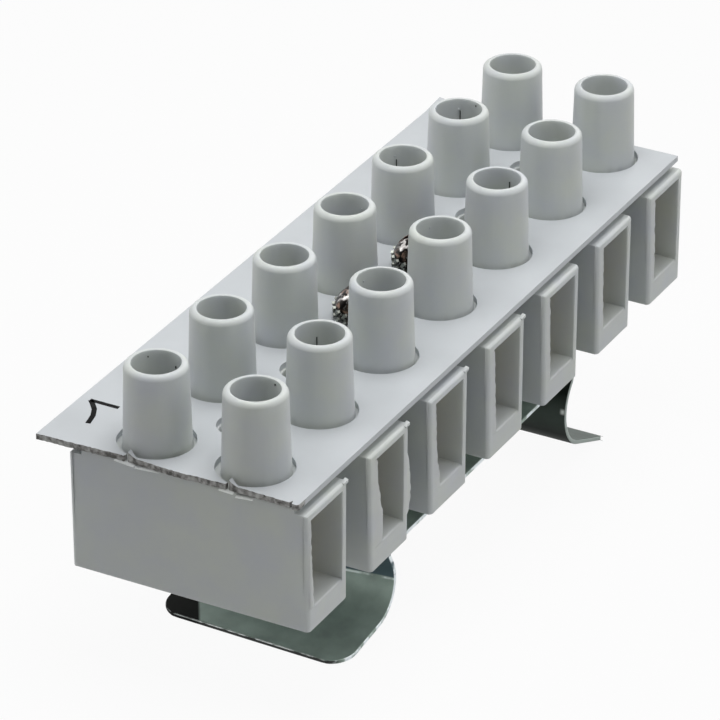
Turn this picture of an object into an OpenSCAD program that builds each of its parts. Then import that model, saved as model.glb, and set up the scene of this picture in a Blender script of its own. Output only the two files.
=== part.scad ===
// Screw terminal strip with a numbered label plate and a spring clip for a top-hat rail.
// X runs across the strip, Y along it from the first pole to the last, and Z up.
// The origin is the middle of the rail seat, on the underside of the clip's flat.
// All sizes are in millimetres.

/* [Strip] */
// Number of poles
poles = 7; // [5:2:11]
// Distance from one pole to the next
pitch = 11; // [10.5:0.1:13]
// Distance between the two rows of screw towers
row_gap = 9.6; // [8.8:0.1:10.4]

/* [Body] */
// Width of the body across the strip
body_w = 23.2; // [22:0.1:28]
// Height of the body from its underside to the deck
body_h = 12.05; // [11.6:0.05:14]
// Width of one pole's housing at the deck
housing_w = 7; // [6.8:0.05:7.2]
// Draft that narrows each side of a housing down to the underside
draft = 0.1; // [0:0.05:0.4]
// Radius along the upper long edges of a housing
edge_r = 0.35; // [0.2:0.05:0.5]
// Radius along the lower long edges of a housing
base_r = 0.15; // [0.1:0.05:0.4]
// Radius on the upright edges of a housing's two end faces
upright_r = 0.45; // [0.1:0.05:0.6]
// Step down from the deck to the top of a housing's outer ends
shoulder_drop = 0.65; // [0.2:0.05:0.8]
// Length of that lower outer end
shoulder_l = 1.3; // [0.8:0.1:2.4]
// Radius along the outer edge of that lower end
ledge_r = 0.4; // [0.1:0.05:0.45]
// Width of the webs that join the housings
web_w = 12; // [10:0.5:15]
// Height of the webs, from the deck down
web_h = 9; // [6:0.5:10]
// Diameter of the fixing holes through the webs
fix_hole_d = 3.6; // [3.3:0.1:3.8]
// Height of the two stand-off bosses under the body
stand_off = 1.85; // [1:0.05:3]
// Diameter of the stand-off bosses
boss_d = 7.5; // [6:0.1:9]

/* [Towers] */
// Height of a screw tower above the deck
tower_h = 8.05; // [7:0.05:10]
// Outer diameter of a tower at its rim
tower_rim_d = 5.6; // [5.3:0.05:5.8]
// Outer diameter of a tower at the deck
tower_base_d = 6; // [5.8:0.05:6.4]
// Bore of a tower, which guides the clamp screw and the screwdriver
tower_bore_d = 4.3; // [4.25:0.05:4.5]
// Radius on the outer edge of a tower's rim
rim_r = 0.5; // [0.1:0.05:0.55]
// Chamfer on the inner edge of a tower's rim
bore_lead = 0.05; // [0.03:0.01:0.1]

/* [Wire entries] */
// Width of a wire entry
entry_w = 5.05; // [4.8:0.05:5.4]
// Height of a wire entry
entry_h = 8; // [7.6:0.1:8.2]
// Thickness of the body's floor under a wire entry
floor_t = 2.55; // [1.8:0.05:2.6]
// Length of the taller mouth at each end of a wire entry
mouth_l = 3.4; // [2:0.1:3.8]
// Step from an entry's roof up to the roof of its mouth
mouth_up = 0.25; // [0.05:0.05:0.3]
// Step from an entry's floor down to the floor of its mouth
mouth_down = 0.3; // [0.05:0.05:0.5]
// Extra width of the first pole's mouths, towards the near end
mouth_side = 0.35; // [0.05:0.05:0.4]
// Chamfer on the sill of a mouth
sill = 0.2; // [0.1:0.05:0.5]

/* [Terminals] */
// Length of a terminal block along the wire
terminal_l = 15.4; // [14:0.1:17]
// Bore that takes the wires
wire_d = 4.2; // [3.6:0.1:4.4]
// Metal left under the wire bore
terminal_floor = 1.4; // [0.8:0.1:1.6]
// Play of a terminal block in its entry, on each side
terminal_play = 0.05; // [0.03:0.01:0.1]
// Countersink at each end of the wire bore
wire_lead = 0.3; // [0.1:0.05:0.3]

/* [Clamp screws] */
// Thread diameter of a clamp screw
clamp_d = 3; // [2.6:0.1:3.2]
// Head diameter of a clamp screw
clamp_head_d = 4.1; // [3.8:0.05:4.2]
// Head height of a clamp screw
clamp_head_h = 2; // [1.5:0.1:2.4]
// Length of a clamp screw under its head
clamp_l = 6.5; // [6:0.1:7]
// Radial play between a thread and its tapped hole
thread_play = 0.05; // [0.03:0.01:0.08]
// Height of a backed-out clamp screw's tip above the wire bore
clamp_clear = 0.05; // [0.02:0.01:0.3]

/* [Label plate] */
// Thickness of the label plate
plate_t = 0.55; // [0.4:0.05:1]
// Reach of the plate from the middle of the strip to its plain long edge
plate_half_w = 10.95; // [10.5:0.05:11.5]
// Extra width of the margin that carries the numbers
label_margin = 3.45; // [2.5:0.05:5]
// Reach of the plate past the first pole
plate_near = 4.15; // [3.9:0.05:5]
// Reach of the plate past the last pole
plate_far = 3.6; // [3.6:0.05:5]
// Clearance hole round each tower
tower_hole_d = 6.9; // [6.6:0.1:7.2]
// Shift of those holes on their towers, towards the margin
hole_shift = 0.12; // [0:0.01:0.3]
// Fixing hole in the plate
plate_hole_d = 4; // [3.7:0.1:4.4]
// Distance of each tear in the near edge from the middle of its tower
tear_off = 1.25; // [0.8:0.05:1.6]
// Depth of a tear's notch in the near edge
tear_deep = 0.55; // [0.3:0.05:0.6]
// Half the width of a tear's notch
tear_half_w = 2; // [1:0.1:2.5]
// Width of the crack from a tear's notch to the tower hole
crack_w = 0.15; // [0.05:0.05:0.3]

/* [Rail clip] */
// Width of the rail that the clip holds
rail_w = 35; // [30:0.1:36]
// Room between the rail's edge and the clip's corner
rail_room = 0.3; // [0.1:0.05:0.6]
// Width of the clip across the strip
clip_w = 19; // [15:0.5:22]
// Thickness of the clip's sheet
sheet_t = 0.4; // [0.3:0.05:0.8]
// Inner radius of the bends beside the rail
corner_r = 0.4; // [0.3:0.05:0.8]
// Inward lean of the near leg, from upright
near_lean = 28; // [20:1:32]
// Length of the near leg's straight side
near_leg = 1.2; // [0.8:0.1:1.6]
// Inner radius of the bend from the near leg to its foot
near_waist_r = 3.1; // [2.4:0.1:3.6]
// Slope of the near foot, down from level
near_slope = 7; // [5:1:12]
// Reach of the near foot along the strip
near_reach = 26; // [24:0.1:27]
// Inward lean of the far leg, from upright
far_lean = 38; // [30:1:40]
// Length of the far leg's straight side
far_leg = 0.5; // [0.3:0.1:0.8]
// Inner radius of the bend from the far leg to its foot
far_waist_r = 4.2; // [3:0.1:4.4]
// Slope of the far foot, down from level
far_slope = 23; // [18:1:28]
// Reach of the far foot along the strip
far_reach = 24.6; // [24:0.1:27]
// Cut across the corners of the feet
foot_cut = 1.5; // [1:0.1:2]

/* [Fixing screws] */
// Thread diameter of a fixing screw
fix_d = 3; // [2.5:0.1:3]
// Reach of a fixing screw past its nut
fix_past = 0.25; // [0:0.05:3]
// Head diameter of a fixing screw
fix_head_d = 5; // [4.6:0.1:5.6]
// Head height of a fixing screw
fix_head_h = 2.4; // [1.6:0.1:2.6]
// Height of the domed part of that head
fix_dome_h = 1.8; // [0.6:0.1:2]
// Outer diameter of a toothed washer
washer_d = 5.4; // [5:0.1:6]
// Hole of a toothed washer
washer_hole_d = 3.2; // [3.1:0.1:3.4]
// Thickness of a toothed washer
washer_t = 0.7; // [0.3:0.1:0.8]
// Number of teeth on a washer
washer_teeth = 12; // [8:1:16]
// Depth of the gaps between the teeth
tooth_deep = 0.6; // [0.3:0.05:0.8]
// Width across the flats of a nut
nut_af = 5.5; // [5:0.1:6]
// Height of a nut
nut_h = 2.4; // [1.6:0.1:2.6]

/* [Screw slots] */
// Width of a screwdriver slot
slot_w = 0.7; // [0.5:0.05:1]
// Depth of a screwdriver slot
slot_deep = 0.9; // [0.5:0.05:1.2]

/* [Hidden] */
$fn = 64;
// Overshoot of a cutting shape past the face that it cuts
over = 0.5;
// Steps in a rounded corner of an outline
arc_steps = 4;
// Steps in a bend of the clip
bend_steps = 12;
// Turn of each screw's slot past the one before
slot_turn = 50;

SIDES = ["left", "right"];

// Heights, from the rail seat up
body_z = sheet_t + stand_off;
deck_z = body_z + body_h;
plate_top_z = deck_z + plate_t;
entry_z = body_z + floor_t;
entry_top_z = entry_z + entry_h;

// Terminal block
terminal_w = entry_w - 2 * terminal_play;
terminal_h = entry_h - 2 * terminal_play;
wire_z = entry_z + terminal_floor + wire_d / 2;
clamp_tip_z = wire_z + wire_d / 2 + clamp_clear;
tapped_d = clamp_d + 2 * thread_play;

// Places along the strip
fix_y = pitch / 2;
plate_near_y = pole_y(1) - plate_near;
plate_l = (poles - 1) * pitch + plate_near + plate_far;

// Length of a fixing screw under its head
fix_l = plate_top_z + washer_t + nut_h + fix_past;

// Half the clip's flat, up to its bend
clip_flat = rail_w / 2 + rail_room - corner_r;

GREY = [0.66, 0.69, 0.68];
PALE_GREY = [0.82, 0.83, 0.83];
ZINC = [0.45, 0.50, 0.47];
STEEL = [0.55, 0.55, 0.54];
BRASS = [0.78, 0.68, 0.42];

function pole_y(i) = (i - (poles + 1) / 2) * pitch;
function gap_y(i) = pole_y(i) + pitch / 2;
function row_x(side) = (side == "left" ? -1 : 1) * row_gap / 2;
function fixing_y(k) = k == 1 ? -fix_y : fix_y;
function mouth_more(i) = i == 1 ? mouth_side : 0;

function last(list) = list[len(list) - 1];
function reversed(list) = [for (k = [len(list) - 1:-1:0]) list[k]];

// Points on an arc about c from angle a to angle b
function arc(c, r, a, b, steps = arc_steps) =
    [for (k = [0:steps]) let (t = a + (b - a) * k / steps) c + r * [cos(t), sin(t)]];

// A point turned about a centre
function turned(p, c, a) =
    let (d = p - c)
    c + [d[0] * cos(a) - d[1] * sin(a), d[0] * sin(a) + d[1] * cos(a)];

// Points along one face of a folded sheet, at a height over its inner face.
// Each step is a straight run, then a bend of an inner radius and an angle.
function fold_face(steps, up, i = 0, p = [0, 0], h = 0) =
    let (
        n = [-sin(h), cos(h)],
        q = p + steps[i][0] * [cos(h), sin(h)],
        r = steps[i][1],
        a = steps[i][2],
        c = q + (a < 0 ? -r : sheet_t + r) * n,
        start = a < 0 ? h + 90 : h - 90
    )
    i == len(steps) - 1 ? [q + up * n] :
    concat(
        arc(c, a < 0 ? r + up : r + sheet_t - up, start, start + a, bend_steps),
        fold_face(steps, up, i + 1, turned(q, c, a), h + a)
    );

// Steps of half the clip: its flat, the bend beside the rail, the leg, the waist and the foot
function clip_steps(lean, leg_l, waist_r, slope, foot_l) = [
    [clip_flat, corner_r, -90 - lean],
    [leg_l, waist_r, 90 + lean - slope],
    [foot_l, 0, 0]
];

// Outline of half the clip, out along its underside and back along its top
function clip_half(lean, leg_l, waist_r, slope, reach) =
    let (
        waist_end = last(fold_face(clip_steps(lean, leg_l, waist_r, slope, 0), 0)),
        foot_l = (reach - waist_end[0]) / cos(slope),
        steps = clip_steps(lean, leg_l, waist_r, slope, foot_l)
    )
    concat(fold_face(steps, 0), reversed(fold_face(steps, sheet_t)));

// Lays an outline drawn in Y and Z along X, centred
module along_x(length) {
    rotate([90, 0, 90])
        linear_extrude(height = length, center = true)
            children();
}

// Section of one housing, with its draft and its rounded long edges
module housing_section() {
    top = housing_w / 2;
    foot = top - draft;
    polygon(concat(
        arc([-foot + base_r, base_r], base_r, 180, 270),
        arc([foot - base_r, base_r], base_r, 270, 360),
        arc([top - edge_r, body_h - edge_r], edge_r, 0, 90),
        arc([-top + edge_r, body_h - edge_r], edge_r, 90, 180)
    ));
}

// Waste outside the four rounded upright edges of a housing, along its draft
module upright_corners() {
    lean = atan(draft / body_h);
    for (sx = [-1, 1], sy = [-1, 1])
        translate([sx * body_w / 2, sy * (housing_w / 2 - draft), 0])
            rotate([-sy * lean, 0, 0])
                difference() {
                    cube([2 * upright_r, 2 * upright_r, 3 * body_h], center = true);
                    translate([-sx * upright_r, -sy * upright_r, 0])
                        cylinder(r = upright_r, h = 4 * body_h, center = true);
                }
}

// Waste outside the rounded outer edges of a housing's lower ends
module ledge_corners() {
    for (sx = [-1, 1])
        translate([sx * body_w / 2, 0, body_h - shoulder_drop])
            rotate([90, 0, 0])
                difference() {
                    cube([2 * ledge_r, 2 * ledge_r, 2 * housing_w], center = true);
                    translate([-sx * ledge_r, -ledge_r, 0])
                        cylinder(r = ledge_r, h = 3 * housing_w, center = true);
                }
}

// One pole's housing, with its lower outer ends
module housing() {
    cut_l = shoulder_l + over;
    cut_h = shoulder_drop + over;
    difference() {
        along_x(body_w) housing_section();
        for (sx = [-1, 1])
            translate([sx * (body_w / 2 + over - cut_l / 2), 0, body_h + over - cut_h / 2])
                cube([cut_l, housing_w + 2 * over, cut_h], center = true);
        upright_corners();
        ledge_corners();
    }
}

// Tapered screw tower with a rounded rim, still without its bore
module tower() {
    taper = atan((tower_base_d - tower_rim_d) / 2 / tower_h);
    rim = tower_rim_d / 2;
    rotate_extrude()
        polygon(concat(
            [[0, -shoulder_drop], [tower_base_d / 2, -shoulder_drop], [tower_base_d / 2, 0]],
            arc([rim - rim_r, tower_h - rim_r], rim_r, taper, 90),
            [[0, tower_h]]
        ));
}

// Bore of a tower, from its chamfered rim down into the wire entry
module tower_bore() {
    rim_z = deck_z + tower_h;
    translate([0, 0, entry_top_z - over])
        cylinder(d = tower_bore_d, h = rim_z - entry_top_z + 2 * over);
    translate([0, 0, rim_z - bore_lead])
        cylinder(d1 = tower_bore_d, d2 = tower_bore_d + 4 * bore_lead, h = 2 * bore_lead);
}

// Mouth of a wire entry, with its sill sloped down towards the outside
module mouth_cut(width) {
    inner_x = body_w / 2 - mouth_l;
    outer_x = body_w / 2 + over;
    low_z = entry_z - mouth_down;
    top_z = entry_top_z + mouth_up;
    rotate([90, 0, 0])
        linear_extrude(height = width, center = true)
            polygon([
                [inner_x, top_z],
                [inner_x, low_z],
                [body_w / 2 - sill, low_z],
                [outer_x, low_z - sill - over],
                [outer_x, top_z]
            ]);
}

// Moulded body: housings, webs, towers and stand-off bosses in one piece
module body() {
    color(GREY)
        difference() {
            union() {
                for (i = [1:poles])
                    translate([0, pole_y(i), body_z]) housing();
                for (i = [1:poles - 1])
                    translate([-web_w / 2, gap_y(i) - pitch / 2, deck_z - web_h])
                        cube([web_w, pitch, web_h]);
                for (i = [1:poles], s = SIDES)
                    translate([row_x(s), pole_y(i), deck_z]) tower();
                for (k = [1, 2])
                    translate([0, fixing_y(k), sheet_t])
                        cylinder(d = boss_d, h = deck_z - sheet_t - web_h / 2);
            }
            for (i = [1:poles])
                translate([0, pole_y(i), entry_z + entry_h / 2])
                    cube([body_w + 2 * over, entry_w, entry_h], center = true);
            for (i = [1:poles], flip = [0, 1])
                translate([0, pole_y(i) - mouth_more(i) / 2, 0])
                    mirror([flip, 0, 0]) mouth_cut(entry_w + mouth_more(i));
            for (i = [1:poles], s = SIDES)
                translate([row_x(s), pole_y(i), 0]) tower_bore();
            for (i = [1:poles - 1])
                translate([0, gap_y(i), -over])
                    cylinder(d = fix_hole_d, h = deck_z + 2 * over);
        }
}

// Notch and crack in the plate's near edge, in front of one near tower
module tear() {
    translate([-tear_off, 0]) {
        polygon([[-tear_half_w, 0], [tear_half_w, 0], [0, tear_deep]]);
        translate([-crack_w / 2, 0]) square([crack_w, plate_near - tower_hole_d / 2 + tear_off / 2]);
    }
}

// Label plate laid over the towers, with the numbered margin on its left
module label_plate() {
    color(PALE_GREY)
        translate([0, 0, deck_z])
            linear_extrude(height = plate_t)
                difference() {
                    translate([-plate_half_w - label_margin, plate_near_y])
                        square([2 * plate_half_w + label_margin, plate_l]);
                    for (i = [1:poles], s = SIDES)
                        translate([row_x(s) - hole_shift, pole_y(i)]) circle(d = tower_hole_d);
                    for (i = [1:poles - 1])
                        translate([0, gap_y(i)]) circle(d = plate_hole_d);
                    for (s = SIDES)
                        translate([row_x(s), plate_near_y]) tear();
                }
}

// Waste outside the cut corners of the two feet
module foot_corners() {
    edge = foot_cut + over;
    outside = [[edge, -over], [edge, edge], [-over, edge]];
    for (sx = [-1, 1], foot = [[-1, near_reach], [1, far_reach]])
        translate([sx * (clip_w / 2 - foot_cut), foot[0] * (foot[1] - foot_cut)])
            polygon([for (p = outside) [sx * p[0], foot[0] * p[1]]]);
}

// Spring clip folded from one strip, with the flatter foot at the near end
module rail_clip() {
    far = clip_half(far_lean, far_leg, far_waist_r, far_slope, far_reach);
    near = clip_half(near_lean, near_leg, near_waist_r, near_slope, near_reach);
    color(ZINC)
        difference() {
            along_x(clip_w)
                polygon(concat(far, [for (p = reversed(near)) [-p[0], p[1]]]));
            translate([0, 0, -rail_w]) linear_extrude(height = rail_w) foot_corners();
            for (k = [1, 2])
                translate([0, fixing_y(k), -over]) cylinder(d = fix_hole_d, h = sheet_t + 2 * over);
        }
}

// Screwdriver slot across the top of a head at height z
module slot(head_d, z) {
    translate([0, 0, z + over / 2 - slot_deep / 2])
        cube([slot_w, head_d + 2 * over, slot_deep + over], center = true);
}

// Round-head screw that holds the plate and the body on the clip
module fixing_screw(k) {
    under_head = plate_top_z + washer_t;
    dome_r = (pow(fix_head_d / 2, 2) + pow(fix_dome_h, 2)) / (2 * fix_dome_h);
    color(STEEL)
        translate([0, fixing_y(k), under_head])
            difference() {
                union() {
                    intersection() {
                        cylinder(d = fix_head_d, h = fix_head_h);
                        translate([0, 0, fix_head_h - dome_r]) sphere(r = dome_r);
                    }
                    translate([0, 0, -fix_l]) cylinder(d = fix_d, h = fix_l + fix_head_h / 2);
                }
                rotate(k * slot_turn) slot(fix_head_d, fix_head_h);
            }
}

// Washer with teeth round its rim
module fixing_washer(k) {
    tooth_gap = PI * washer_d / washer_teeth / 2;
    color(STEEL)
        translate([0, fixing_y(k), plate_top_z])
            difference() {
                cylinder(d = washer_d, h = washer_t);
                translate([0, 0, -over]) cylinder(d = washer_hole_d, h = washer_t + 2 * over);
                for (t = [0:washer_teeth - 1])
                    rotate(t * 360 / washer_teeth)
                        translate([washer_d / 2 + over - (tooth_deep + over) / 2, 0, washer_t / 2])
                            cube([tooth_deep + over, tooth_gap, washer_t + 2 * over], center = true);
            }
}

// Hexagon nut under the clip's flat
module fixing_nut(k) {
    color(STEEL)
        translate([0, fixing_y(k), -nut_h])
            difference() {
                cylinder(d = nut_af / cos(30), h = nut_h, $fn = 6);
                translate([0, 0, -over]) cylinder(d = fix_d + 2 * thread_play, h = nut_h + 2 * over);
            }
}

// Terminal block with a through bore for the wires and a tapped hole for each clamp screw
module terminal(i) {
    color(BRASS)
        translate([0, pole_y(i), 0])
            difference() {
                translate([-terminal_l / 2, -terminal_w / 2, entry_z])
                    cube([terminal_l, terminal_w, terminal_h]);
                translate([0, 0, wire_z])
                    rotate([0, 90, 0])
                        cylinder(d = wire_d, h = terminal_l + 2 * over, center = true);
                for (sx = [-1, 1])
                    translate([sx * terminal_l / 2, 0, wire_z])
                        rotate([0, -90 * sx, 0])
                            cylinder(d1 = wire_d + 2 * wire_lead, d2 = wire_d, h = wire_lead);
                for (s = SIDES)
                    translate([row_x(s), 0, wire_z]) cylinder(d = tapped_d, h = entry_h);
            }
}

// Slotted clamp screw, backed out so that the wire bore is free
module clamp_screw(side, i) {
    color(STEEL)
        translate([row_x(side), pole_y(i), clamp_tip_z])
            difference() {
                union() {
                    cylinder(d = clamp_d, h = clamp_l + clamp_head_h / 2);
                    translate([0, 0, clamp_l]) cylinder(d = clamp_head_d, h = clamp_head_h);
                }
                rotate(i * slot_turn) slot(clamp_head_d, clamp_l + clamp_head_h);
            }
}

body();
label_plate();
rail_clip();
for (k = [1, 2]) {
    fixing_screw(k);
    fixing_washer(k);
    fixing_nut(k);
}
for (i = [1:poles]) {
    terminal(i);
    for (s = SIDES)
        clamp_screw(s, i);
}
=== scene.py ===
"""Looks, light and camera of the terminal block, around its CAD frame."""

import math
import random

import bmesh
import bpy
from mathutils import Matrix, Vector


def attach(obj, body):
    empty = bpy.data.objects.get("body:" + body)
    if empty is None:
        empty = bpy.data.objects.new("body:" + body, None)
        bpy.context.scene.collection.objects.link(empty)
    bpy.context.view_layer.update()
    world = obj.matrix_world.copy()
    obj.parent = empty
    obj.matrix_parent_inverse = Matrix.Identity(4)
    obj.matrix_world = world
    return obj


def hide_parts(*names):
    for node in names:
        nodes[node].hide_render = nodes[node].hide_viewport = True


MM = 0.001
X, Y, Z = (1, 0, 0), (0, 1, 0), (0, 0, 1)
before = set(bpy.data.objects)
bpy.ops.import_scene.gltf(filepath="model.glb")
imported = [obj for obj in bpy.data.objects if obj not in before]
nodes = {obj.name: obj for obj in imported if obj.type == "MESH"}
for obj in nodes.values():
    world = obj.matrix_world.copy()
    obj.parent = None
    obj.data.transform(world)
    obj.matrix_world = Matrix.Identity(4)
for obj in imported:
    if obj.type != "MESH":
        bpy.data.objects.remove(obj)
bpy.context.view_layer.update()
scene = bpy.context.scene

# Camera, fitted to the photograph
LENS = 243.15
SENSOR = 36.0
AZIMUTH = math.radians(28.485)
ELEVATION = math.radians(28.929)
DISTANCE = 423.3 * MM
TARGET = Vector((3.586, -12.628, 14.85)) * MM
CLIP_START = 0.01

# Rounds on edges
BODY_EDGE = 0.1 * MM
SHEET_EDGE = 0.06 * MM
METAL_EDGE = 0.08 * MM
CLIP_EDGE = 0.1 * MM
WELD = 0.002 * MM
SHARP = math.radians(35)
CORNER = math.radians(60)
FLAT = math.radians(0.5)
EDGE_SEGMENTS = 2

# Rows of poles, in millimetres
PITCH = 11.0
POLES = range(1, 8)
MIDDLE_POLE = 4
ROW_X = 4.8
FIXING_Y = 5.5

# Label plate, in millimetres
PLATE_LOW = 14.3
PLATE_TOP = 14.85
PLATE_LEFT = -14.4
PLATE_RIGHT = 10.95
PLATE_FAR = 36.6
TOWER_HOLE_R = 3.45
HOLE_SHIFT = -0.12
WEB_HOLE_R = 2.0
HOLE_STEPS = 48
# Near edge between its cracks, each run from left to right
TORN_RUNS = [
    [(-14.4, -37.05), (-12.6, -36.97), (-10.6, -36.95),
     (-8.7, -36.85), (-7.1, -36.75), (-5.95, -36.74)],
    [(-5.6, -36.6), (-4.6, -36.75), (-3.5, -36.82), (-1.9, -36.95),
     (0, -36.95), (1.3, -36.85), (2.4, -36.85), (3.9, -36.75)],
    [(4.2, -36.62), (5.0, -36.72), (6.5, -36.75), (8.3, -36.8), (10.05, -36.9)],
    [(10.2, -36.4), (10.35, -36.95), (10.8, -36.95), (10.95, -36.8)],
]
# Sides of the first pole's holes that the cracks run into
CRACKED_HOLES = (-1, 1)
TORN_SEED = 7
TORN_STEP = 0.25
TORN_ROUGH = 0.1
# Lips that curl up beside the cracks: length, height, depth, and how far they sink in
LIP_STEPS = 6
LIP_L = 1.3
LIP_H = 0.42
LIP_D = 0.5
LIP_SINK = 0.03
# Far left corner that curls up: its length each way, its height, and its distance from the edge
CURL_X = 2.2
CURL_Y = 3.0
CURL_H = 0.3
CURL_IN = 0.01
# Torn slivers under the near edge: the (x, z, half height) of both ends
SLIVERS = [
    ((-6.8, 14.31, 0.01), (-4.85, 14.2, 0.07)),
    ((-4.8, 14.13, 0.07), (-2.4, 14.24, 0.01)),
    ((3.35, 14.25, 0.03), (4.75, 14.23, 0.06)),
    ((4.95, 14.02, 0.06), (6.65, 14.11, 0.01)),
]
SLIVER_STEPS = 8
SLIVER_IN = -36.4
SLIVER_OUT = -37.0

# Moulding flash on the right-hand wire entries, in millimetres: each pole's (height, width) down an edge
ENTRY_HALF = 2.525
FIRST_ENTRY_MORE = 0.35
HOUSING_HALF = 3.42
FLASH_X = (11.42, 11.58)
OUTER_FLASH_X = (11.0, 11.25)
FLASH_SEED = 3
FLASH_STEP = 0.35
FLASH_ROUGH = 0.09
FLASH_LAP = 0.3
INNER_FLASH = {
    1: [(12.9, 0.02), (9.0, 0.1), (6.0, 0.35), (4.5, 0.45)],
    2: [(13.0, 0.3), (10.9, 0.32), (9.1, 0.8), (7.2, 1.25), (5.6, 1.3), (4.5, 1.1)],
    3: [(12.9, 0.02), (10.5, 0.04), (7.3, 0.37), (5.7, 0.68), (4.5, 0.75)],
    4: [(12.9, 0.1), (10.0, 0.25), (7.3, 0.45), (4.5, 0.6)],
    5: [(12.9, 0.05), (9.0, 0.2), (4.5, 0.4)],
    6: [(12.9, 0.02), (9.0, 0.1), (4.5, 0.3)],
    7: [(12.9, 0.02), (9.0, 0.1), (4.5, 0.3)],
}
OUTER_FLASH = {
    2: [(12.4, 0.15), (10.6, 0.3), (9.2, 0.7), (7.6, 0.95), (5.6, 0.95), (4.6, 0.6), (4.2, 0.1)],
}
BURR_POLES = (1, 2, 3, 4)
BURR_Z = 13.6
BURR_L = 0.75
BURR_H = 0.18
BURR_START = 0.2
BURR_PARTS = (0, 0.5, 1)

# Marks inside the towers, on the wall that shows in the photograph:
# (side, pole, place across as a share of the bore's radius, depth, length)
RIM_Z = 22.35
TOWER_BORE_R = 2.15
BACK_WALL = math.radians(118.5)
SEAMS = [
    (-1, 6, 0.08, 1.2, 1.2), (-1, 5, -0.27, 1.4, 1.0), (1, 2, -0.13, 1.55, 0.9),
    (1, 5, 0.56, 1.25, 0.7), (-1, 1, -0.36, 0.52, 0.12), (-1, 1, 0.75, 1.2, 0.2),
    (1, 1, 0.75, 0.35, 0.15), (-1, 6, 0.76, 0.3, 0.15),
]
NUBS = [
    (-1, 6, 0.02, 1.0, 0.14), (-1, 5, -0.32, 1.0, 0.14), (-1, 4, 0.72, 1.2, 0.14),
    (1, 4, -0.41, 0.92, 0.16), (1, 3, -0.72, 0.9, 0.16),
]
SEAM_W = 0.09
NUB_W = 0.16
MARK_T = 0.08

# Printed numbers on the margin: strokes of (right, up) points, in millimetres
INK_T = 0.012
INK_W = 0.46
MITRE_LEAST = 0.5
NUMBER_Y = 3.3
NUMBER_X = -10.7
NUMBERS = [
    [[(-0.2, -0.2), (-0.2, 2.7)],
     [(-0.2, 2.6), (-0.7, 2.12), (-1.4, 1.53), (-2.4, 1.05), (-3.75, 0.75)]],
    [[(-3.7, 1.9), (-3.2, 2.45), (-2.2, 2.5), (-1.2, 2.3), (-1.1, 1.7), (-3.8, 0.1), (-0.9, 0.1)]],
    [[(-3.7, 2.2), (-2.4, 2.5), (-1.2, 2.2), (-1.4, 1.5), (-2.2, 1.3)],
     [(-2.2, 1.3), (-1.1, 1.1), (-1.0, 0.6), (-1.9, 0.05), (-3.7, 0.4)]],
    [[(-1.6, 0), (-1.6, 2.5), (-3.9, 0.8), (-0.9, 0.8)]],
    [[(-1.0, 2.4), (-3.5, 2.4), (-3.6, 1.4), (-2.2, 1.6), (-1.0, 1.0), (-1.5, 0.2), (-3.7, 0.2)]],
    [[(-1.3, 2.4), (-2.8, 2.0), (-3.7, 1.0), (-3.2, 0.1),
      (-1.7, 0.1), (-1.1, 0.8), (-1.9, 1.3), (-3.5, 1.0)]],
    [[(-3.8, 2.4), (-0.9, 2.4), (-2.4, 0)]],
]

# Toothed washers, in millimetres: the loose one, and the one crimped round the head
WASHER_BORE_R = 1.7
WASHER_ROOT_R = 2.15
WASHER_TIP_R = 2.68
WASHER_Z = 15.26
COLLAR_BORE_R = 2.3
COLLAR_ROOT_R = 2.5
COLLAR_TIP_R = 2.72
COLLAR_Z = 15.93
TEETH = 18
TOOTH_W = 0.6
TOOTH_T = 0.24
TOOTH_TURN = math.radians(48)

# Rail clip, in millimetres and degrees: a leg is its lean, straight, bend radius, foot's slope and reach,
# and a foot's corners are the radii on its left and right
CLIP_T = 0.4
CLIP_HALF_W = 9.5
CLIP_FLAT = 17.4
CLIP_BEND_R = 0.4
NEAR_LEG = (28, 1.2, 3.1, 7, 26.2)
FAR_LEG = (38, 0.5, 4.2, 23, 24.6)
NEAR_SKEW = 0.25
NEAR_CORNERS = (2.0, 2.3)
FAR_CORNERS = (1.5, 0.5)
BEND_STEPS = 16
CORNER_STEPS = 12

# Colours, some as (place, colour) stops of a ramp
BODY_STOPS = [(0.3, (0.525, 0.55, 0.575)), (0.7, (0.56, 0.59, 0.555))]
SHEET_GREY = (0.505, 0.53, 0.55)
BREAK_STOPS = [
    (0.36, (0.07, 0.068, 0.062)),
    (0.48, (0.24, 0.235, 0.225)),
    (0.64, (0.45, 0.455, 0.44)),
]
ZINC = (0.32, 0.40, 0.355)
# Clip colours after ZINC: painted shade above the near waist, a painted dark reflection on the far leg, a
# painted glint, a painted shadow on the near foot, painted shade on the foot's end, and painted
# highlights on the foot's lip, the waist bend and the right-hand edges
ZINC_SHADED = (0.10, 0.15, 0.17)
ZINC_DARK_REFLECTION = (0.014, 0.020, 0.016)
ZINC_GLINT = (0.95, 1.0, 0.97)
ZINC_SHADOW = (0.010, 0.011, 0.010)
ZINC_END_SHADE = (0.02, 0.022, 0.02)
ZINC_LIP_HIGHLIGHT = (0.85, 0.90, 0.88)
ZINC_WAIST_GLINT = (0.80, 0.88, 0.86)
ZINC_SIDE_HIGHLIGHT = (0.80, 0.86, 0.88)
ZINC_FAR_SIDE_HIGHLIGHT = (0.46, 0.52, 0.49)
# Bands up a screw head: brown tarnish, with painted dark reflection at the sides and a painted highlight
# in a band below the top
TARNISH_AND_REFLECTION_STOPS = [
    (0.25, (0.012, 0.010, 0.009)),
    (0.42, (0.26, 0.17, 0.13)),
    (0.55, (0.03, 0.026, 0.022)),
    (0.72, (0.62, 0.60, 0.58)),
    (0.92, (0.20, 0.13, 0.10)),
]
TARNISH_SPECK = (0.01, 0.009, 0.008)
BRASS = (0.70, 0.60, 0.38)
STEEL = (0.47, 0.47, 0.46)
WASHER_GREY = (0.30, 0.315, 0.285)
INK_BLACK = (0.004, 0.004, 0.004)
INK_WORN = (0.02, 0.02, 0.02)
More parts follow.
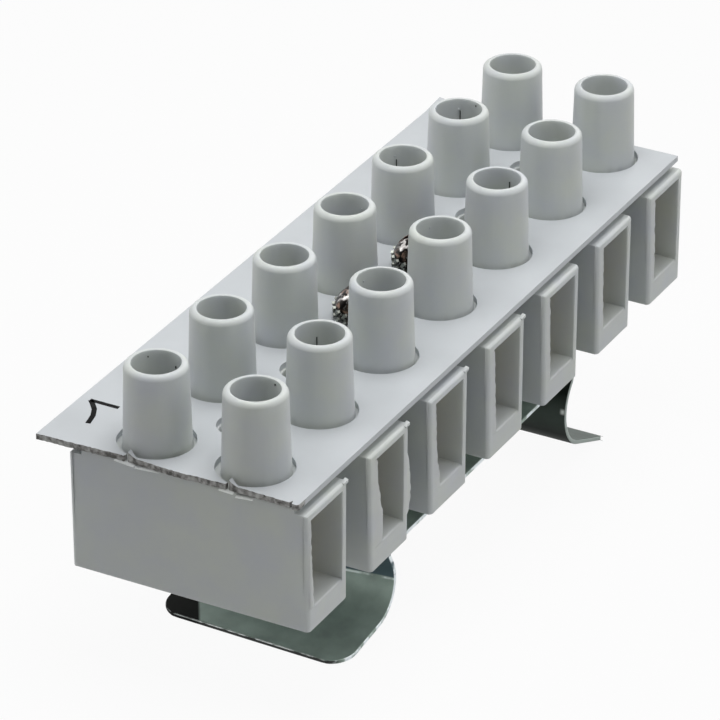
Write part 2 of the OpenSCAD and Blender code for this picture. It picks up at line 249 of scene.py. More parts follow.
# Painted shade of grooves, for the seams inside the towers
SEAM_SHADE_DARK = (0.025, 0.027, 0.025)
SEAM_SHADE_PALE = (0.09, 0.092, 0.085)
BUMP_STRENGTH = 0.6
# Levels of noise where patches start and are full
CLOUD_STOPS = (0.3, 0.7)
COAT_STOPS = (0.4, 0.75)
WEAR_AND_GLINT_NOISE = (0.4, 0.55)
BAND_NOISE = (0.3, 0.7)
SPECK_NOISE = (0.5, 0.56)

# Where marks start and are full, in millimetres along the object
BREAK_Y = (-35.6, -36.0)
NEAR_Y = (-15, -17)
FAR_Y = (13, 17)
FOOT_Y = (-24, -25)
# Line past which a painted shadow lies on the near foot's left part
SHADOW_WAY = (1, 0.6, 0)
SHADOW_AT = (-20.64, -20.94)
# Box that holds a painted glint on the far leg
GLINT_AT = [(X, 8.9, 9.15), (X, 9.5, 9.3), (Z, -3.7, -3.45), (Z, -3.0, -3.25)]
# Line of the clip's waist, and heights over it
WAIST_WAY = (-0.084, 0, 1)
WAIST_LINE = -4.13
WAIST_ABOVE = (0.1, 0.2)
WAIST_LOW = (-0.15, -0.05)
WAIST_HIGH = (0.15, 0.05)
# Where marks start and are full as a face turns, by one part of its normal
UPRIGHT = (0.8, 0.5)
NOT_BEHIND = (0.7, 0.25)
END_FACE = (-0.6, -0.85)
LIP_FRONT = (-0.2, -0.4)
LIP_UP = (0.2, 0.4)
RIGHT_FACE = (0.3, 0.6)

# Floor and light
FLOOR_SIZE = 3.0
FLOOR_WHITE = 0.94
FLOOR_GREY = (0.6, 0.6, 0.6, 1)
FILL_LEVEL = 0.205


def direction(azimuth, elevation):
    """Unit vector from the object towards a viewer or a lamp."""
    return Vector(
        (
            math.sin(azimuth) * math.cos(elevation),
            -math.cos(azimuth) * math.cos(elevation),
            math.sin(elevation),
        )
    )


def pole_y(pole):
    """Place of a pole along the strip."""
    return (pole - MIDDLE_POLE) * PITCH


def row_x(side):
    """Place of a row of towers across the strip."""
    return side * ROW_X


# Node helpers


def new_tree(name):
    """A node material with its shader: (material, tree, shader)."""
    mat = bpy.data.materials.new(name)
    mat.use_nodes = True
    tree = mat.node_tree
    return mat, tree, tree.nodes["Principled BSDF"]


def noise(tree, scale, detail, stretch=(1, 1, 1)):
    """Noise over the object's own coordinates; scale is in cells a metre."""
    place = tree.nodes.new("ShaderNodeTexCoord")
    turn = tree.nodes.new("ShaderNodeMapping")
    turn.inputs["Scale"].default_value = stretch
    tex = tree.nodes.new("ShaderNodeTexNoise")
    tex.inputs["Scale"].default_value = scale
    tex.inputs["Detail"].default_value = detail
    tree.links.new(place.outputs["Object"], turn.inputs["Vector"])
    tree.links.new(turn.outputs["Vector"], tex.inputs["Vector"])
    return tex.outputs["Fac"]


def ramp(tree, value, stops):
    """Colour ramp of (place, colour) stops."""
    node = tree.nodes.new("ShaderNodeValToRGB")
    elements = node.color_ramp.elements
    while len(elements) < len(stops):
        elements.new(1.0)
    for element, (place, colour) in zip(elements, stops):
        element.position = place
        element.color = (*colour, 1)
    tree.links.new(value, node.inputs["Fac"])
    return node.outputs["Color"]


def spread(tree, value, start, end, low=0.0, high=1.0):
    """Maps a value's range, held at its ends."""
    node = tree.nodes.new("ShaderNodeMapRange")
    node.inputs["From Min"].default_value = start
    node.inputs["From Max"].default_value = end
    node.inputs["To Min"].default_value = low
    node.inputs["To Max"].default_value = high
    tree.links.new(value, node.inputs["Value"])
    return node.outputs["Result"]


def grade(tree, output, way, start, end):
    """Rises from 0 to 1 between two values of a coordinate along a direction."""
    place = tree.nodes.new("ShaderNodeTexCoord")
    onto = tree.nodes.new("ShaderNodeVectorMath")
    onto.operation = "DOT_PRODUCT"
    onto.inputs[1].default_value = way
    tree.links.new(place.outputs[output], onto.inputs[0])
    return spread(tree, onto.outputs["Value"], start, end)


def along(tree, way, start, end):
    """Rises from 0 to 1 between two places along a direction of the object, in millimetres."""
    return grade(tree, "Object", [c / MM for c in way], start, end)


def facing(tree, way, start, end):
    """Rises from 0 to 1 as a face turns, by its normal's part along a direction."""
    return grade(tree, "Normal", way, start, end)


def both(tree, masks):
    """Where all of some masks are 1."""
    value = masks[0]
    for mask in masks[1:]:
        value = maths(tree, "MULTIPLY", value, mask)
    return value


def maths(tree, operation, first, second):
    """Two values put together."""
    node = tree.nodes.new("ShaderNodeMath")
    node.operation = operation
    for socket, value in zip(node.inputs, (first, second)):
        tree.links.new(value, socket)
    return node.outputs["Value"]


def mixer(tree, mask, under):
    """A mix of two colours by a mask: (upper colour's socket, result)."""
    node = tree.nodes.new("ShaderNodeMix")
    node.data_type = "RGBA"
    lower, upper = [s for s in node.inputs if s.type == "RGBA"]
    tree.links.new(mask, node.inputs["Factor"])
    tree.links.new(under, lower)
    return upper, [s for s in node.outputs if s.type == "RGBA"][0]


def cover(tree, mask, under, colour):
    """Lays a colour over another where a mask is 1."""
    upper, result = mixer(tree, mask, under)
    upper.default_value = (*colour, 1)
    return result


def blend(tree, mask, under, over):
    """Lays a varied colour over another where a mask is 1."""
    upper, result = mixer(tree, mask, under)
    tree.links.new(over, upper)
    return result


def bump(tree, shader, value, height):
    """Fine relief on the shader's normal, height in metres."""
    node = tree.nodes.new("ShaderNodeBump")
    node.inputs["Strength"].default_value = BUMP_STRENGTH
    node.inputs["Distance"].default_value = height
    tree.links.new(value, node.inputs["Height"])
    tree.links.new(node.outputs["Normal"], shader.inputs["Normal"])


def shade(colour, by):
    """A colour made lighter or darker."""
    return tuple(min(1.0, c * by) for c in colour)


def clouds(tree, colour, mottle, scale, stretch=(1, 1, 1)):
    """A colour with soft lighter and darker patches."""
    shades = (shade(colour, 1 - mottle), shade(colour, 1 + mottle))
    return ramp(tree, noise(tree, scale, detail=5, stretch=stretch), list(zip(CLOUD_STOPS, shades)))


def set_inputs(shader, values):
    """Sets constants on a shader's sockets."""
    for socket, value in values.items():
        shader.inputs[socket].default_value = value


# Materials


def body_plastic():
    """Satin grey moulding with a fine grain, a little translucent."""
    mat, tree, shader = new_tree("body_plastic")
    colour = ramp(tree, noise(tree, scale=260, detail=5), BODY_STOPS)
    tree.links.new(colour, shader.inputs["Base Color"])
    values = {
        "Roughness": 0.45,
        "Subsurface Weight": 0.5,
        "Subsurface Radius": (1, 1, 1),
        "Subsurface Scale": 1 * MM,
    }
    set_inputs(shader, values)
    bump(tree, shader, noise(tree, scale=2600, detail=3), height=0.01 * MM)
    return mat


def label_sheet():
    """Paler sheet, with a grey rough break along its near edge."""
    mat, tree, shader = new_tree("label_sheet")
    smooth = clouds(tree, SHEET_GREY, mottle=0.03, scale=200)
    rough = ramp(tree, noise(tree, scale=1900, detail=4), BREAK_STOPS)
    broken = both(tree, [facing(tree, Z, *UPRIGHT), along(tree, Y, *BREAK_Y)])
    tree.links.new(blend(tree, broken, smooth, rough), shader.inputs["Base Color"])
    set_inputs(shader, {"Roughness": 0.5})
    bump(tree, shader, noise(tree, scale=2200, detail=3), height=0.01 * MM)
    return mat


def over_waist(tree, start, end):
    """Rises from 0 to 1 between two heights over the line of the clip's waist."""
    return along(tree, WAIST_WAY, WAIST_LINE + start, WAIST_LINE + end)


def clip_colour(tree, near, beyond, shadow_patch, far):
    """Mottled zinc under painted shade, a painted shadow, a painted dark reflection and painted
    highlights, given the masks that mark larger areas.
    """
    foot = along(tree, Y, *FOOT_Y)
    # Noise that breaks the painted highlights into dashes of wear and highlight
    wear_and_glint = spread(tree, noise(tree, scale=900, detail=4), *WEAR_AND_GLINT_NOISE)
    coats = [
        # Painted shade on the near leg above its waist
        ([near, over_waist(tree, *WAIST_ABOVE)], ZINC_SHADED),
        # Painted dark reflection on the far leg's faces that turn towards the near end
        ([far], ZINC_DARK_REFLECTION),
        # Painted glint on the far leg
        ([beyond] + [along(tree, *limits) for limits in GLINT_AT], ZINC_GLINT),
        # Painted shadow on the near foot's left part
        ([shadow_patch], ZINC_SHADOW),
        # Painted shade on the end faces of the near foot's tip
        ([facing(tree, Y, *END_FACE), foot], ZINC_END_SHADE),
        # Painted highlight along the near foot's tip edge, broken into dashes
        ([facing(tree, Y, *LIP_FRONT), facing(tree, Z, *LIP_UP), foot, wear_and_glint], ZINC_LIP_HIGHLIGHT),
        # Painted highlight along the near leg's waist bend, broken into dashes like wear
        ([over_waist(tree, *WAIST_LOW), over_waist(tree, *WAIST_HIGH), near, wear_and_glint], ZINC_WAIST_GLINT),
    ]
    colour = clouds(tree, ZINC, mottle=0.2, scale=420)
    for masks, coat in coats:
        colour = cover(tree, both(tree, masks), colour, coat)
    # Painted highlight on the sheet's right-hand edges, dimmer on the far leg
    side = both(tree, [facing(tree, X, *RIGHT_FACE), maths(tree, "MAXIMUM", wear_and_glint, beyond)])
    side_highlight = cover(tree, beyond, clouds(tree, ZINC_SIDE_HIGHLIGHT, mottle=0.1, scale=900), ZINC_FAR_SIDE_HIGHLIGHT)
    return blend(tree, side, colour, side_highlight)


def clip_zinc():
    """Dull zinc on the clip: mottled, with painted shade, a painted shadow and a painted dark reflection
    in places, and painted highlights on its edges broken up like wear.
    """
    mat, tree, shader = new_tree("clip_zinc")
    near = along(tree, Y, *NEAR_Y)
    beyond = along(tree, Y, *FAR_Y)
    # Painted shadow on the near foot's left part
    shadow_patch = both(tree, [near, along(tree, SHADOW_WAY, *SHADOW_AT)])
    # Painted dark reflection on the far leg
    far = both(tree, [beyond, facing(tree, Y, *NOT_BEHIND)])
    # Painted shadow and painted dark reflection, where the metal's own reflection is turned off
    painted_dark = maths(tree, "MAXIMUM", shadow_patch, far)
    metallic = spread(tree, painted_dark, 0, 1, low=0.5, high=0.0)
    specular = spread(tree, painted_dark, 0, 1, low=0.4, high=0.05)
    tree.links.new(clip_colour(tree, near, beyond, shadow_patch, far), shader.inputs["Base Color"])
    tree.links.new(metallic, shader.inputs["Metallic"])
    tree.links.new(specular, shader.inputs["Specular IOR Level"])
    set_inputs(shader, {"Roughness": 0.5})
    bump(tree, shader, noise(tree, scale=1500, detail=4), height=0.006 * MM)
    return mat


def screw_plating():
    """Shiny plating in bands from the sides of a head to its top: brown tarnish, with painted dark
    reflection at the sides and a painted highlight in a band below the top.
    """
    mat, tree, shader = new_tree("screw_plating")
    uneven = spread(tree, noise(tree, scale=900, detail=3), *BAND_NOISE, low=-0.2, high=0.2)
    bands = ramp(tree, maths(tree, "ADD", facing(tree, Z, 0, 1), uneven), TARNISH_AND_REFLECTION_STOPS)
    specks = spread(tree, noise(tree, scale=1700, detail=2), *SPECK_NOISE)
    tree.links.new(cover(tree, specks, bands, TARNISH_SPECK), shader.inputs["Base Color"])
    set_inputs(shader, {"Metallic": 1, "Roughness": 0.25})
    bump(tree, shader, noise(tree, scale=1400, detail=3), height=0.02 * MM)
    return mat


def metal(name, colour, roughness, mottle, stretch=(1, 1, 1)):
    """Plated metal with streaks."""
    mat, tree, shader = new_tree(name)
    streaks = clouds(tree, colour, mottle, scale=300, stretch=stretch)
    tree.links.new(streaks, shader.inputs["Base Color"])
    set_inputs(shader, {"Metallic": 1, "Roughness": roughness})
    bump(tree, shader, noise(tree, scale=900, detail=3, stretch=stretch), height=0.004 * MM)
    return mat


def dark_coat(name, low, high):
    """Thin dark coat, a little worn."""
    mat, tree, shader = new_tree(name)
    stops = list(zip(COAT_STOPS, (low, high)))
    colour = ramp(tree, noise(tree, scale=1200, detail=4), stops)
    tree.links.new(colour, shader.inputs["Base Color"])
    set_inputs(shader, {"Roughness": 0.8, "Specular IOR Level": 0.1})
    return mat


MATERIALS = {
    "body": body_plastic(),
    "label_plate": label_sheet(),
    "rail_clip": clip_zinc(),
    "fixing": screw_plating(),
    "terminal": metal("terminal_brass", BRASS, roughness=0.3, mottle=0.1, stretch=(1, 4, 4)),
    "clamp_screw": metal("clamp_steel", STEEL, roughness=0.45, mottle=0.2),
}
INK = dark_coat("printed_ink", INK_BLACK, INK_WORN)
# Painted shade of grooves, laid on the ridges inside the towers
SEAM_SHADE = dark_coat("seam_painted_shade", SEAM_SHADE_DARK, SEAM_SHADE_PALE)
WASHER_ZINC = metal("washer_zinc", WASHER_GREY, roughness=0.42, mottle=0.5)


# CAD nodes


def round_edges(obj, width):
    """Narrow rounds on a mesh's sharp edges."""
    edge = obj.modifiers.new("edge", "BEVEL")
    edge.width = width
    edge.segments = EDGE_SEGMENTS
    edge.limit_method = "ANGLE"
    edge.angle_limit = CORNER
    edge.use_clamp_overlap = False
    normal = obj.modifiers.new("normal", "WEIGHTED_NORMAL")
    normal.keep_sharp = False


def soften(obj, width):
    """Rounds a CAD node's edges by a modifier stack."""
    mesh = obj.data
    for name in ("custom_normal", "sharp_edge", "sharp_face"):
        if name in mesh.attributes:
            mesh.attributes.remove(mesh.attributes[name])
    mesh.shade_smooth()
    weld = obj.modifiers.new("weld", "WELD")
    weld.merge_threshold = WELD
    flat = obj.modifiers.new("flat", "DECIMATE")
    flat.decimate_type = "DISSOLVE"
    flat.angle_limit = FLAT
    round_edges(obj, width)


# Widths of the rounds, and each node's slot as it was loaded
EDGES = {"body": BODY_EDGE, "label_plate": SHEET_EDGE, "rail_clip": SHEET_EDGE}
SLOTS = {o.name: o.data.materials[0].name for o in nodes.values()}
for name, obj in nodes.items():
    obj.data.materials[0] = MATERIALS[SLOTS[name]]
    soften(obj, EDGES.get(name, METAL_EDGE))


# Finer pieces


def add_piece(name, mesh, material):
    """Links a mesh of the strip, with its material."""
    piece = bpy.data.objects.new(name, mesh)
    scene.collection.objects.link(piece)
    mesh.materials.append(material)
    mesh.shade_smooth()
    mesh.set_sharp_from_angle(angle=SHARP)
    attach(piece, "strip")
    return piece


def joined(name, parts):
    """One mesh from several lists of points, in millimetres, and faces."""
    points, faces = [], []
    for some_points, some_faces in parts:
        first = len(points)
        points += [[c * MM for c in p] for p in some_points]
        faces += [[first + k for k in face] for face in some_faces]
    mesh = bpy.data.meshes.new(name)
    mesh.from_pydata(points, [], faces)
    skin = bmesh.new()
    skin.from_mesh(mesh)
    bmesh.ops.recalc_face_normals(skin, faces=skin.faces)
    skin.to_mesh(mesh)
    skin.free()
    return mesh


def tube(rows):
    """Closed skin over a row of loops with the same number of points."""
    count = len(rows[0])
    points = [p for row in rows for p in row]
    faces = []
    for r in range(len(rows) - 1):
        for k in range(count):
            low, high = r * count, (r + 1) * count
            faces.append((low + k, low + (k + 1) % count, high + (k + 1) % count, high + k))
    last = (len(rows) - 1) * count
    faces.append(tuple(range(count - 1, -1, -1)))
    faces.append(tuple(range(last, last + count)))
    return points, faces


def filled(name, loops, low, high):
    """Mesh of a flat sheet: an outline and its holes, in millimetres."""
    curve = bpy.data.curves.new(name, "CURVE")
    curve.dimensions = "2D"
    curve.fill_mode = "BOTH"
    curve.extrude = (high - low) / 2 * MM
    for loop in loops:
        spline = curve.splines.new("POLY")
        spline.points.add(len(loop) - 1)
        for point, (x, y) in zip(spline.points, loop):
            point.co = (x * MM, y * MM, 0, 1)
        spline.use_cyclic_u = True
    maker = bpy.data.objects.new(name, curve)
    mesh = bpy.data.meshes.new_from_object(maker)
    mesh.transform(Matrix.Translation((0, 0, (high + low) / 2 * MM)))
    bpy.data.objects.remove(maker)
    bpy.data.curves.remove(curve)
    mesh.name = name
    return mesh


def circle(x, y, radius, start=0.0, turn=-360.0, steps=HOLE_STEPS):
    """Points round a centre, from a start angle through a turn, in degrees."""
    whole = abs(turn) >= 360
    count = steps if whole else steps + 1
    angles = [math.radians(start + turn * k / steps) for k in range(count)]
    return [(x + radius * math.cos(a), y + radius * math.sin(a)) for a in angles]


# Label plate


def torn(run, chance):
    """A run of the torn edge, broken into short ragged steps."""
    points = [run[0]]
    for (x0, y0), (x1, y1) in zip(run, run[1:]):
        steps = max(1, round((x1 - x0) / TORN_STEP))
        for k in range(1, steps + 1):
            ragged = chance.uniform(0, TORN_ROUGH)
            points.append((x0 + (x1 - x0) * k / steps, y0 + (y1 - y0) * k / steps + ragged))
    return points


def around_tower(side, left, right):
    """The first pole's hole, from the left lip of its crack round to the right lip."""
    x = row_x(side) + HOLE_SHIFT
    start = math.degrees(math.atan2(left[1] - pole_y(1), left[0] - x)) % 360
    end = math.degrees(math.atan2(right[1] - pole_y(1), right[0] - x)) % 360
    return circle(x, pole_y(1), TOWER_HOLE_R, start, end - start - 360)


def plate_outline(chance):
    """Outer edge of the label plate, which runs in and out of the two torn holes."""
    outline = []
    for k, run in enumerate(TORN_RUNS):
        outline += torn(run, chance)
        if k < len(CRACKED_HOLES):
            outline += around_tower(CRACKED_HOLES[k], run[-1], TORN_RUNS[k + 1][0])
    return outline + [(PLATE_RIGHT, PLATE_FAR), (PLATE_LEFT, PLATE_FAR)]


def lip(run):
    """Torn edge that curls up at the start of a run."""
    rows = []
    (x0, y0), (x1, y1) = run[:2]
    for k in range(LIP_STEPS + 1):
        part = k / LIP_STEPS
        x = x0 + LIP_L * part
        y = y0 + (y1 - y0) * min(1, (x - x0) / (x1 - x0))
        high = PLATE_TOP + LIP_H * (1 - part) ** 2 - LIP_SINK
        back = y + LIP_D * (1 - part) + LIP_SINK
        rows.append([(x, y, PLATE_LOW), (x, y, high), (x, back, high), (x, y + LIP_D, PLATE_LOW)])
    return tube(rows)


def curl():
    """Far left corner of the plate, curled up."""
    x, y = PLATE_LEFT + CURL_IN, PLATE_FAR - CURL_IN
    plan = [(x, y, CURL_H), (x, y - CURL_Y, 0), (x + CURL_X, y, 0)]
    foot = [(right, ahead, PLATE_LOW + CURL_H) for right, ahead, rise in plan]
    return tube([foot, [(right, ahead, PLATE_TOP + rise) for right, ahead, rise in plan]])


def make_plate():
    """Label plate with its broken near edge."""
    chance = random.Random(TORN_SEED)
    holes = [
        circle(row_x(side) + HOLE_SHIFT, pole_y(pole), TOWER_HOLE_R)
        for pole in POLES[1:]
        for side in (-1, 1)
    ]
    holes += [circle(0, pole_y(pole) + PITCH / 2, WEB_HOLE_R) for pole in POLES[:-1]]
    mesh = filled("label_sheet", [plate_outline(chance)] + holes, PLATE_LOW, PLATE_TOP)
    piece = add_piece("label_sheet", mesh, MATERIALS["label_plate"])
    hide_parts("label_plate")
    after_cracks = TORN_RUNS[1 : len(CRACKED_HOLES) + 1]
    lips = joined("torn_lips", [lip(run) for run in after_cracks] + [curl()])
    add_piece("torn_lips", lips, MATERIALS["label_plate"])


def make_slivers():
    """Torn slivers that hang from the foot of the break."""
    parts = []
    for start, end in SLIVERS:
        rows = []
        for k in range(SLIVER_STEPS + 1):
            x, z, half = Vector(start).lerp(Vector(end), k / SLIVER_STEPS)
            top, foot = z + 2 * half, z - half
            rows.append([(x, SLIVER_IN, top), (x, SLIVER_IN, foot), (x, SLIVER_OUT, foot)])
        parts.append(tube(rows))
    add_piece("torn_slivers", joined("torn_slivers", parts), MATERIALS["body"])


# Moulding flash


def film(edge, ends, stops, chance):
    """Thin ragged film that grows in +Y from an edge, between two places across the strip."""
    rows = []
    x0, x1 = ends
    back = edge - FLASH_LAP
    for (z0, w0), (z1, w1) in zip(stops, stops[1:]):
        steps = max(1, round((z0 - z1) / FLASH_STEP))
        closing = z1 == stops[-1][0]
        for k in range(steps + 1 if closing else steps):
            z, w = z0 + (z1 - z0) * k / steps, w0 + (w1 - w0) * k / steps
            out = edge + w + chance.uniform(-FLASH_ROUGH, FLASH_ROUGH)
            rows.append([(x0, back, z), (x1, back, z), (x1, out, z), (x0, out, z)])
    return tube(rows)


def burr(y):
    """Small burr on the far corner of a housing's lower end."""
    x0, x1 = FLASH_X[0] - BURR_H, FLASH_X[1]
    low = BURR_Z - BURR_H
    rows = []
    for part in BURR_PARTS:
        place = y - BURR_L * (1 - part)
        high = BURR_H * (BURR_START + (1 - BURR_START) * part)
        loop = [(x0, low), (x1, low), (x1, BURR_Z + high / 2), (x0, BURR_Z + high)]
        rows.append([(x, place, z) for x, z in loop])
    return tube(rows)


def make_flash():
    """Flash and burrs round the wire entries."""
    chance = random.Random(FLASH_SEED)
    for pole, stops in INNER_FLASH.items():
        edge = pole_y(pole) - ENTRY_HALF - (FIRST_ENTRY_MORE if pole == 1 else 0)
        parts = [film(edge, FLASH_X, stops, chance)]
        if pole in OUTER_FLASH:
            outer = pole_y(pole) + HOUSING_HALF
            parts.append(film(outer, OUTER_FLASH_X, OUTER_FLASH[pole], chance))
        if pole in BURR_POLES:
            parts.append(burr(pole_y(pole) + HOUSING_HALF + BURR_H))
        name = f"flash_{pole}"
        add_piece(name, joined(name, parts), MATERIALS["body"])


# Marks in the towers


def mark(spot, width):
    """Upright ridge on a tower's inner wall."""
    side, pole, across, depth, length = spot
    middle = BACK_WALL - math.asin(across)
    turn = width / 2 / TOWER_BORE_R
    inner, outer = TOWER_BORE_R - MARK_T, TOWER_BORE_R + MARK_T
    plan = []
    for offset, r in ((-turn, outer), (turn, outer), (turn, inner), (-turn, inner)):
        angle = middle + offset
        plan.append((row_x(side) + r * math.cos(angle), pole_y(pole) + r * math.sin(angle)))
    top = RIM_Z - depth
    return tube([[(x, y, z) for x, y in plan] for z in (top - length, top)])


def make_marks():
    """Seams painted dark as the shade of grooves, and bright nubs in the towers."""
    seams = joined("tower_seams", [mark(spot, SEAM_W) for spot in SEAMS])
    add_piece("tower_seams", seams, SEAM_SHADE)
    nubs = joined("tower_nubs", [mark(spot, NUB_W) for spot in NUBS])
    add_piece("tower_nubs", nubs, MATERIALS["label_plate"])


# Printed numbers


def ribbon(points, width, low, high):
    """Flat stroke of a width along some points."""
    rows = []
    for k, point in enumerate(points):
        here = Vector(point)
        before = here - Vector(points[k - 1]) if k else Vector(points[1]) - here
        after = Vector(points[k + 1]) - here if k < len(points) - 1 else before
        mean = (before.normalized() + after.normalized()).normalized()
        reach = width / 2 / max(MITRE_LEAST, mean.dot(after.normalized()))
        side = Vector((-mean.y, mean.x)) * reach
        one, other = here + side, here - side
        rows.append([(*one, low), (*other, low), (*other, high), (*one, high)])
    return tube(rows)


def make_numbers():
    """One number for each pole on the plate's margin, read from the left side."""
    for pole, strokes in zip(POLES, NUMBERS):
        base = pole_y(pole) + NUMBER_Y
        parts = []
        for stroke in strokes:
            placed = [(NUMBER_X - up, base + right) for right, up in stroke]
            parts.append(ribbon(placed, INK_W, PLATE_TOP, PLATE_TOP + INK_T))
        name = f"number_{pole}"
        add_piece(name, joined(name, parts), INK)


# Toothed washers


def tooth(root, tip, y, z, angle):
    """One twisted tooth of a washer."""
    corners = [(-1, -1), (1, -1), (1, 1), (-1, 1)]
    rows = []
    for reach in (root - TOOTH_T, tip):
        row = []
        for across, up in corners:
            spot = Vector((reach, across * TOOTH_W / 2, up * TOOTH_T / 2))
            spot = Matrix.Rotation(TOOTH_TURN, 3, "X") @ spot
            spot = Matrix.Rotation(angle, 3, "Z") @ spot
            row.append((spot.x, spot.y + y, spot.z + z))
        rows.append(row)
    return tube(rows)


def toothed(name, bore, root, tip, y, z):
    """Ring with twisted teeth."""
    loops = [circle(0, y, root), circle(0, y, bore)]
    ring = filled("ring", loops, z - TOOTH_T / 2, z + TOOTH_T / 2)
    parts = [([v.co / MM for v in ring.vertices], [list(f.vertices) for f in ring.polygons])]
    parts += [tooth(root, tip, y, z, math.tau * k / TEETH) for k in range(TEETH)]
    bpy.data.meshes.remove(ring)
    return add_piece(name, joined(name, parts), WASHER_ZINC)


def make_washers(number, y):
    """Toothed washers of a fixing screw."""
    radii = WASHER_BORE_R, WASHER_ROOT_R, WASHER_TIP_R
    loose = toothed(f"toothed_washer_{number}", *radii, y, WASHER_Z)
    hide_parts(f"fixing_washer_{number}")
    radii = COLLAR_BORE_R, COLLAR_ROOT_R, COLLAR_TIP_R
    toothed(f"head_teeth_{number}", *radii, y, COLLAR_Z)


# Rail clip


def fold(leg, rounded):
    """Half of the folded sheet: (place, heading) along its underside, from the middle to a foot's tip."""
    lean, straight, bend_r, slope, reach = leg
    place, heading, line = Vector((0, 0)), 0.0, [(Vector((0, 0)), 0.0)]
    bends = (
        (CLIP_FLAT, -CLIP_BEND_R, -90 - lean),
        (straight, CLIP_T + bend_r, 90 + lean - slope),
    )
    for length, radius, turn in bends:
        place = place + Vector((math.cos(heading), math.sin(heading))) * length
        normal = Vector((-math.sin(heading), math.cos(heading)))
        centre = place + normal * radius
        for k in range(BEND_STEPS + 1):
            angle = math.radians(turn) * k / BEND_STEPS
            spoke = Matrix.Rotation(angle, 2) @ (place - centre)
            line.append((centre + spoke, heading + angle))
        place, heading = line[-1][0], heading + math.radians(turn)
    rest = (reach - place.x) / math.cos(heading)
    ahead = Vector((math.cos(heading), math.sin(heading)))
    for k in range(CORNER_STEPS + 1):
        to_tip = rounded * (1 - math.sin(math.pi / 2 * k / CORNER_STEPS))
        line.append((place + ahead * (rest - to_tip), heading))
    return line


def from_tip(place, tip):
    """Distance of a place on a leg from its foot's tip, or a long way on the clip's flat."""
    on_leg = place.x > CLIP_FLAT or place.y < -CLIP_BEND_R
    return (tip - place).length if on_leg else CLIP_FLAT


def half_width(to_tip, corner):
    """Half the clip's width at a distance from the foot's rounded end."""
    if to_tip >= corner:
        return CLIP_HALF_W
    return CLIP_HALF_W - corner + math.sqrt(max(0.0, corner**2 - (corner - to_tip) ** 2))


def clip_rows(leg, side, skew, corners):
    """Cross sections of half the clip, out to one side along the strip."""
    line = fold(leg, max(corners))
    tip = line[-1][0]
    start = line[-CORNER_STEPS - 1][0].x
    rows = []
    for place, heading in line:
        to_tip = from_tip(place, tip)
        upper = place + Vector((-math.sin(heading), math.cos(heading))) * CLIP_T
        left, right = -half_width(to_tip, corners[0]), half_width(to_tip, corners[1])
        row = []
        for x, spot in ((left, place), (right, place), (right, upper), (left, upper)):
            share = max(0, (spot.x - start) / (tip.x - start) + 1) / 2
            row.append((x, side * (spot.x + skew * x / CLIP_HALF_W * share), spot.y))
        rows.append(row)
    return rows


def make_clip():
    """Folded spring clip with rounded feet."""
    near = clip_rows(NEAR_LEG, -1, NEAR_SKEW, NEAR_CORNERS)
    far = clip_rows(FAR_LEG, 1, 0, FAR_CORNERS)
    # From the near tip to the far one; the row in the middle of the flat isn't needed
    mesh = joined("clip_sheet", [tube(near[:0:-1] + far[1:])])
    piece = add_piece("clip_sheet", mesh, MATERIALS["rail_clip"])
    round_edges(piece, CLIP_EDGE)
    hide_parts("rail_clip")


make_plate()
make_slivers()
make_flash()
make_marks()
make_numbers()
make_washers(1, -FIXING_Y)
make_washers(2, FIXING_Y)
make_clip()


# Studio


def lowest(points):
    """The lowest of some points."""
    return min(points, key=lambda p: p.z)


def seen(tree, share):
    """A share for rays that see the background: camera, glossy and transmission."""
    path = tree.nodes.new("ShaderNodeLightPath")
    rays = path.outputs
    value = maths(tree, "MAXIMUM", rays["Is Camera Ray"], rays["Is Glossy Ray"])
    value = maths(tree, "MAXIMUM", value, rays["Is Transmission Ray"])
    return spread(tree, value, 0, 1, low=0, high=share)


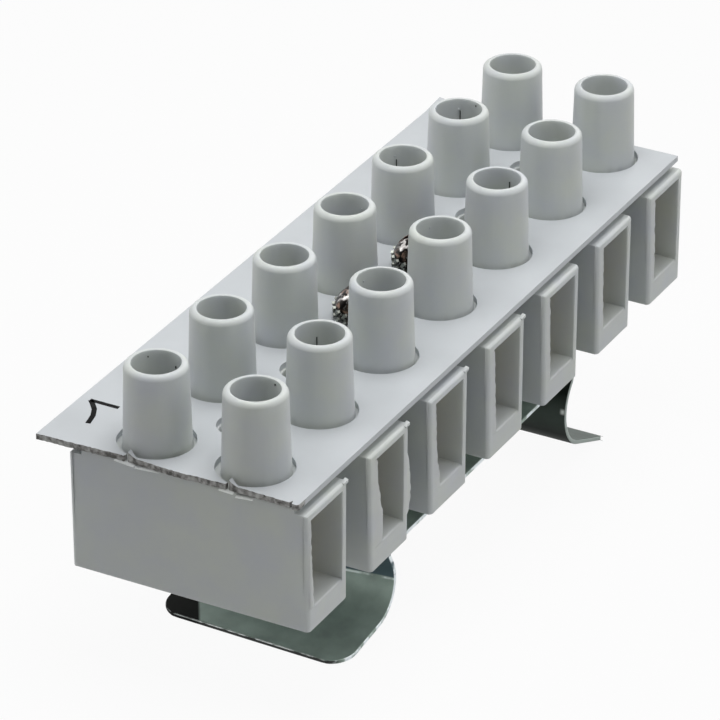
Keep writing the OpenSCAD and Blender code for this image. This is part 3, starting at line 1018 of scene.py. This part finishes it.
def make_floor():
    """Pale floor under the clip's two feet, which are not level."""
    points = [v.co for v in nodes["rail_clip"].data.vertices]
    near = lowest(p for p in points if p.y < 0)
    far = lowest(p for p in points if p.y > 0)
    rise = (far.z - near.z) / (far.y - near.y)
    level = near.z - rise * near.y
    half = FLOOR_SIZE / 2
    corners = [(-half, -half), (half, -half), (half, half), (-half, half)]
    mesh = bpy.data.meshes.new("floor")
    mesh.from_pydata([(x, y, level + rise * y) for x, y in corners], [], [(0, 1, 2, 3)])
    floor = bpy.data.objects.new("floor", mesh)
    scene.collection.objects.link(floor)
    mat, tree, shader = new_tree("floor_white")
    set_inputs(shader, {"Base Color": FLOOR_GREY, "Roughness": 1})
    glow = tree.nodes.new("ShaderNodeEmission")
    mix = tree.nodes.new("ShaderNodeMixShader")
    tree.links.new(seen(tree, FLOOR_WHITE), mix.inputs["Fac"])
    tree.links.new(shader.outputs["BSDF"], mix.inputs[1])
    tree.links.new(glow.outputs["Emission"], mix.inputs[2])
    tree.links.new(mix.outputs["Shader"], tree.nodes["Material Output"].inputs["Surface"])
    mesh.materials.append(mat)


def make_world():
    """White where it is seen, soft grey where it lights the object."""
    world = bpy.data.worlds.new("studio")
    world.use_nodes = True
    scene.world = world
    tree = world.node_tree
    back = tree.nodes["Background"]
    back.inputs["Color"].default_value = (1, 1, 1, 1)
    level = spread(tree, seen(tree, 1.0), 0, 1, low=FILL_LEVEL, high=1.0)
    tree.links.new(level, back.inputs["Strength"])


def aim(thing, away, distance):
    """Links a lamp or a camera, at a distance from its target and turned towards it."""
    thing.location = TARGET + away * distance
    thing.rotation_mode = "QUATERNION"
    thing.rotation_quaternion = (-away).to_track_quat("-Z", "Y")
    scene.collection.objects.link(thing)


def make_lamp(name, azimuth, elevation, distance, size, power):
    """Soft square lamp aimed at the object."""
    data = bpy.data.lights.new(name, "AREA")
    data.size = size
    data.energy = power
    lamp = bpy.data.objects.new(name, data)
    aim(lamp, direction(math.radians(azimuth), math.radians(elevation)), distance)


def make_camera():
    """The photograph's view."""
    data = bpy.data.cameras.new("camera")
    data.lens = LENS
    data.sensor_width = SENSOR
    data.clip_start = CLIP_START
    camera = bpy.data.objects.new("camera", data)
    aim(camera, direction(AZIMUTH, ELEVATION), DISTANCE)
    scene.camera = camera


make_floor()
make_world()
make_lamp("key", azimuth=180, elevation=89, distance=0.17, size=0.1, power=0.182)
make_lamp("back", azimuth=180, elevation=36, distance=0.6, size=0.4, power=1.2)
make_lamp("right", azimuth=100, elevation=35, distance=0.6, size=0.4, power=0.8)
make_lamp("left", azimuth=-75, elevation=30, distance=0.6, size=0.4, power=0.8)
make_camera()
scene.view_settings.view_transform = "Standard"
